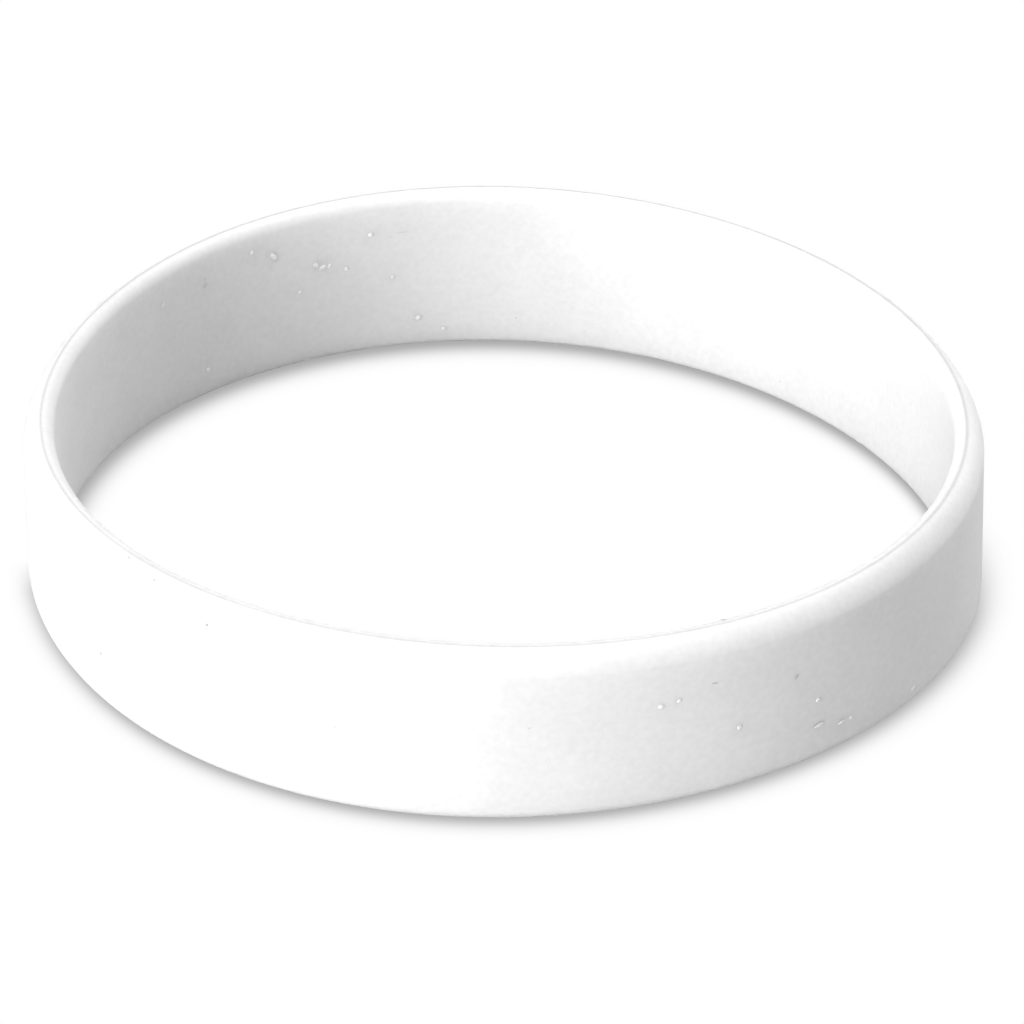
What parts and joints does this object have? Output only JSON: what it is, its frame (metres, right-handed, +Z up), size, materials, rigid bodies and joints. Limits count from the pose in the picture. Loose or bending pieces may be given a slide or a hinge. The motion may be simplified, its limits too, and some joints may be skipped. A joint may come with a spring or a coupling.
{
  "type": "silicone wristband",
  "caption": "Plain white silicone wristband: one endless ring of soft rubber with rounded outer edges, stretched over the hand to sit round the wrist.",
  "frame": {"origin": "middle of the band's box, on the surface that its foot rests on", "axes": "+Z up along the band's opening, from its foot to its rim; -Y towards the front"},
  "size_m": [0.0676, 0.0703, 0.0127],
  "materials": {
    "silicone": "matte, slightly translucent white silicone rubber"
  },
  "bodies": {
    "root": {"band": "silicone"}
  },
  "joints": []
}
